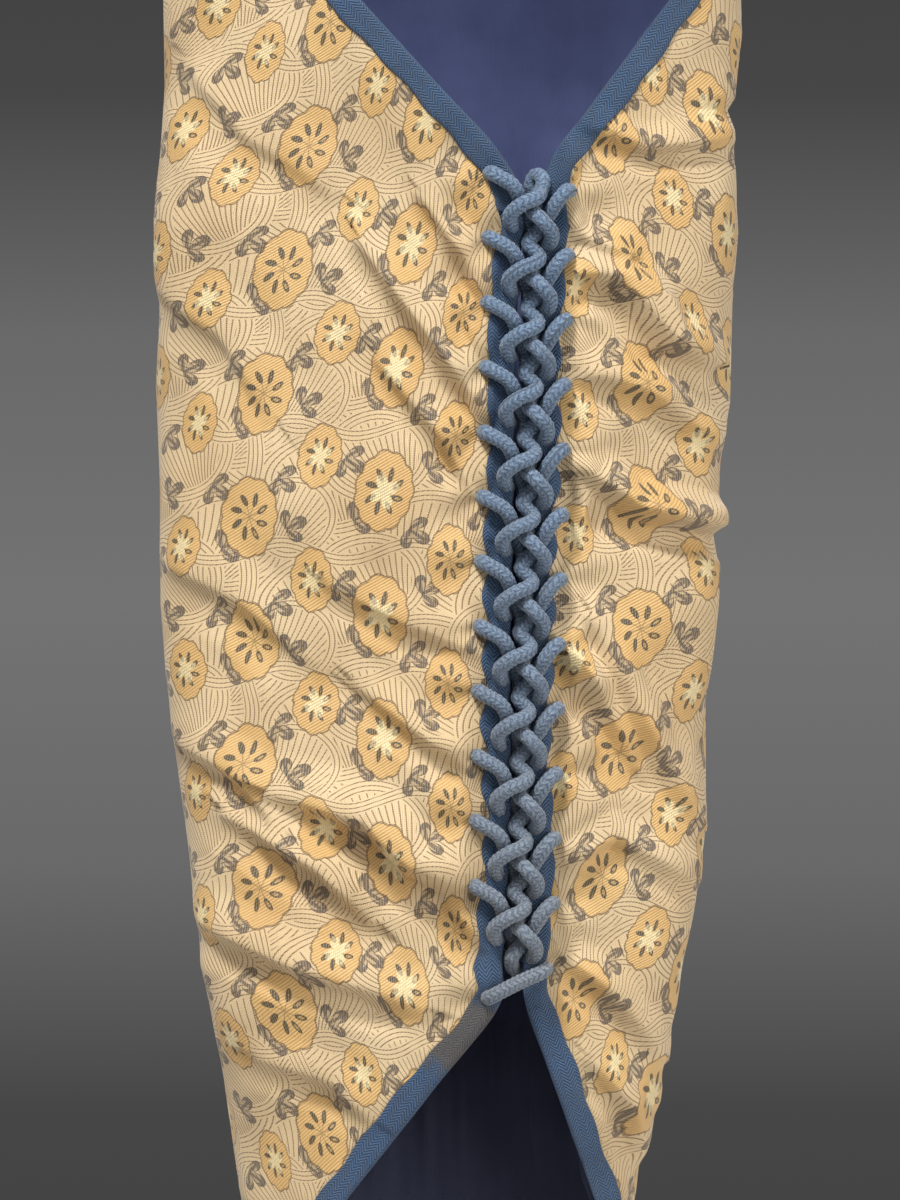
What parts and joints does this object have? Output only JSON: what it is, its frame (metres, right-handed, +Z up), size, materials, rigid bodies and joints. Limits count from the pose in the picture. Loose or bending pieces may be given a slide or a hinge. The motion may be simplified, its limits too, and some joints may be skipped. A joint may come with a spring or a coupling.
{
  "type": "armoured sleeve",
  "caption": "Laced brocade arm sleeve with slanting open ends, lined and edged in blue, with mail, small plates, elbow dish, splints and a hand plate on its outer side.",
  "frame": {"origin": "centre of the middle eyelet's bore in the shoulder plate, from which the sleeve hangs", "axes": "+Z up along the arm towards the shoulder, -Y out of the laced inner side, +Y out of the armoured outer side, +X towards the thumb side"},
  "size_m": [0.2001, 0.1068, 0.722],
  "materials": {
    "brocade": "straw-gold silk brocade, woven pattern",
    "lining": "dark indigo plain weave",
    "core_cloth": "coarse undyed hemp, matte",
    "tape": "blue herringbone twill tape",
    "cord": "faded blue-grey braided cord",
    "mail": "dark lacquered iron rings",
    "black_iron": "black-brown lacquer over iron, satin",
    "eyelet_brass": "aged brass, satin",
    "toggle_wood": "dark stained wood, polished"
  },
  "bodies": {
    "upper_arm": {"cover_upper_left": "brocade", "cover_upper_right": "brocade", "cover_upper_back": "brocade", "core_upper": "core_cloth", "lining_upper": "lining", "top_binding": "tape", "tape_upper_left": "tape", "tape_upper_right": "tape", "cover_elbow_left": "brocade", "cover_elbow_right": "brocade", "cover_elbow_back": "brocade", "lining_elbow": "lining", "laced_edge_left": "brocade", "laced_edge_right": "brocade", "slit_tape_left": "tape", "slit_tape_right": "tape", "lacing_cord": "cord", "shoulder_plate": "black_iron", "shoulder_eyelets": "eyelet_brass", "shoulder_rivets": "black_iron", "mail_upper": "mail", "mail_elbow": "mail", "upper_plates_1": "black_iron", "upper_plates_2": "black_iron", "upper_plates_3": "black_iron", "upper_plates_4": "black_iron", "upper_plates_5": "black_iron"},
    "elbow_cap": {"elbow_dish": "black_iron", "elbow_boss": "black_iron"},
    "forearm": {"cover_fore_left": "brocade", "cover_fore_right": "brocade", "cover_fore_back": "brocade", "core_fore": "core_cloth", "lining_fore": "lining", "tape_lower_left": "tape", "tape_lower_right": "tape", "mail_fore": "mail", "splint_1": "black_iron", "splint_2": "black_iron", "splint_3": "black_iron", "splint_4": "black_iron", "splint_5": "black_iron", "splint_6": "black_iron", "splint_7": "black_iron", "splint_rivets": "black_iron", "mail_wrist": "mail", "lining_wrist": "lining"},
    "hand": {"hand_cloth": "brocade", "hand_lining": "lining", "hand_plate": "black_iron", "hand_rivets": "black_iron", "finger_loop": "cord", "thumb_tab": "brocade"},
    "thumb": {"thumb_cloth": "lining", "thumb_plate": "black_iron", "thumb_loop": "cord"},
    "toggle_left_body": {"toggle_left": "toggle_wood", "toggle_cord_left": "cord"},
    "toggle_right_body": {"toggle_right": "toggle_wood", "toggle_cord_right": "cord"}
  },
  "joints": [
    {"name": "elbow_bend", "type": "hinge", "parent": "upper_arm", "child": "forearm", "pos_m": [0, 0.038, -0.32], "axis": [-1, 0, 0], "range_deg": [0, 70], "deforming": ["cover_elbow_left", "cover_elbow_right", "cover_elbow_back", "lining_elbow", "mail_elbow", "laced_edge_left", "laced_edge_right", "slit_tape_left", "slit_tape_right", "lacing_cord"]},
    {"name": "elbow_cap_follow", "type": "hinge", "parent": "upper_arm", "child": "elbow_cap", "pos_m": [0, 0.038, -0.32], "axis": [-1, 0, 0], "range_deg": [0, 35]},
    {"name": "wrist_bend", "type": "hinge", "parent": "forearm", "child": "hand", "pos_m": [0, 0.031, -0.586], "axis": [-1, 0, 0], "range_deg": [0, 50], "deforming": ["mail_wrist", "lining_wrist"]},
    {"name": "thumb_swing", "type": "hinge", "parent": "hand", "child": "thumb", "pos_m": [0, 0.0195, -0.618], "axis": [-1, 0, 0], "range_deg": [0, 45], "deforming": ["thumb_tab"]},
    {"name": "toggle_left_swing", "type": "hinge", "parent": "upper_arm", "child": "toggle_left_body", "pos_m": [-0.05632, -0.00511, 0], "axis": [-0.2339, 0.9723, 0], "range_deg": [-45, 45]},
    {"name": "toggle_right_swing", "type": "hinge", "parent": "upper_arm", "child": "toggle_right_body", "pos_m": [0.05632, -0.00511, 0], "axis": [0.2339, 0.9723, 0], "range_deg": [-45, 45]}
  ],
  "couplings": [
    {"joint": "elbow_cap_follow", "follows": "elbow_bend", "ratio": 0.5}
  ]
}
